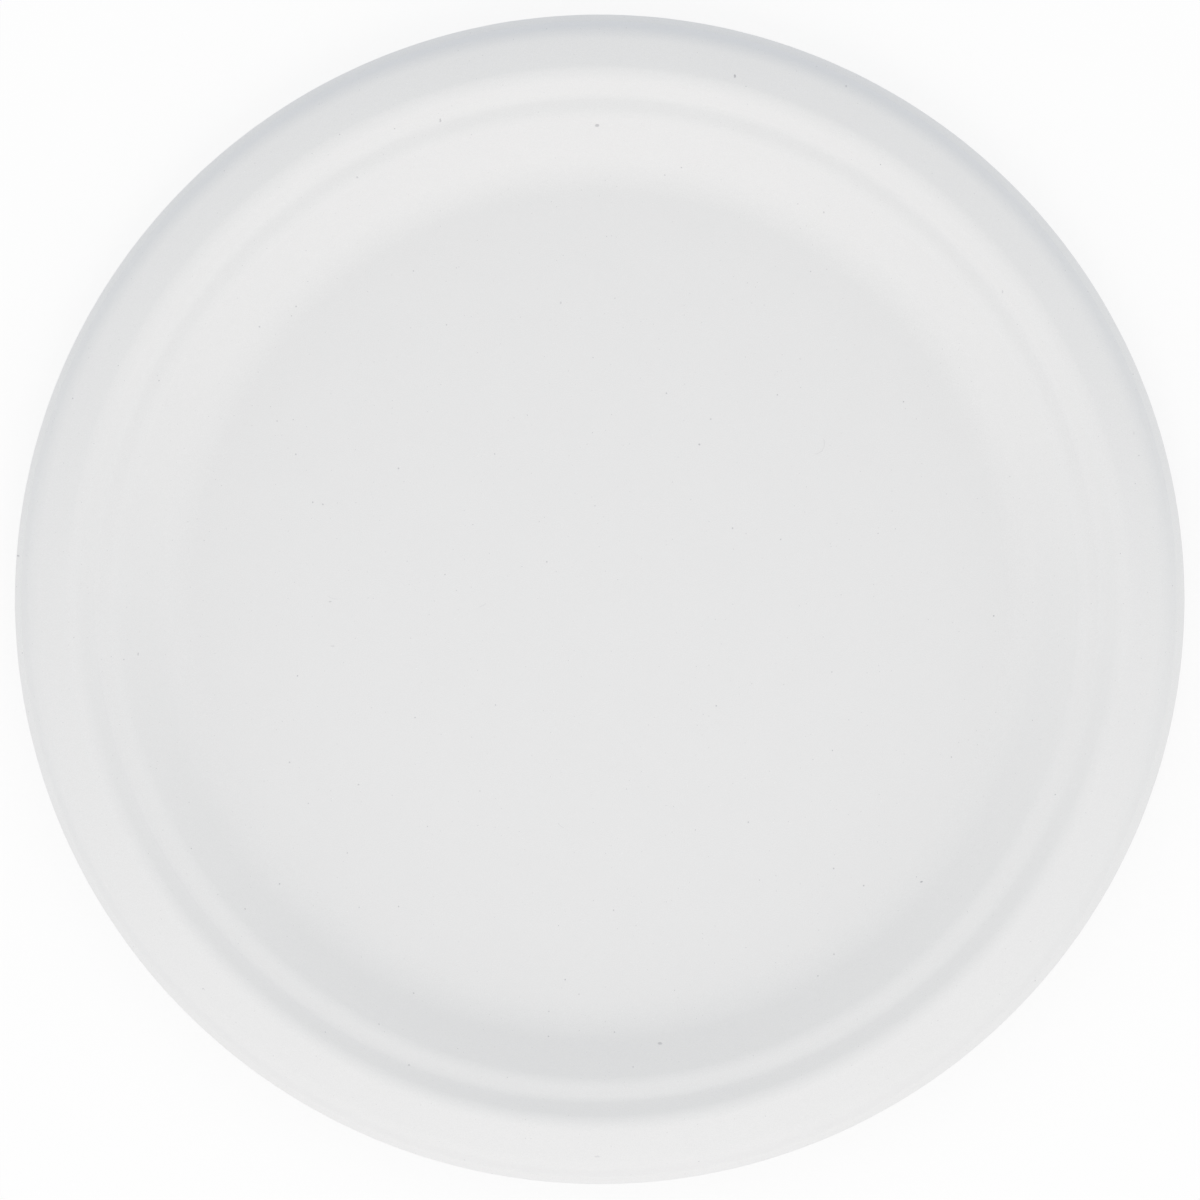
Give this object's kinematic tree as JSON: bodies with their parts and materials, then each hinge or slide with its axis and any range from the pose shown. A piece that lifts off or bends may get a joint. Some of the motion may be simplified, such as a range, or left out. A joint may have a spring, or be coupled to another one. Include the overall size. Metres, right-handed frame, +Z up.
{
  "type": "paper plate",
  "caption": "Round moulded-fibre plate with a flat well, a sloping wall with a narrow ledge, a rounded crest and a sloping rim that ends in a turned-down lip.",
  "frame": {"origin": "centre of the flat underside, where the plate stands on a table", "axes": "+Z up along the plate's axis of symmetry; +Y is up the picture's frame, and the plate is round, so X and Y are alike"},
  "size_m": [0.229, 0.229, 0.018],
  "materials": {
    "moulded_fibre": "matt white pressed pulp with a fine grain, soft mottling and small grey flecks and fibres"
  },
  "bodies": {
    "root": {"plate": "moulded_fibre"}
  },
  "joints": []
}
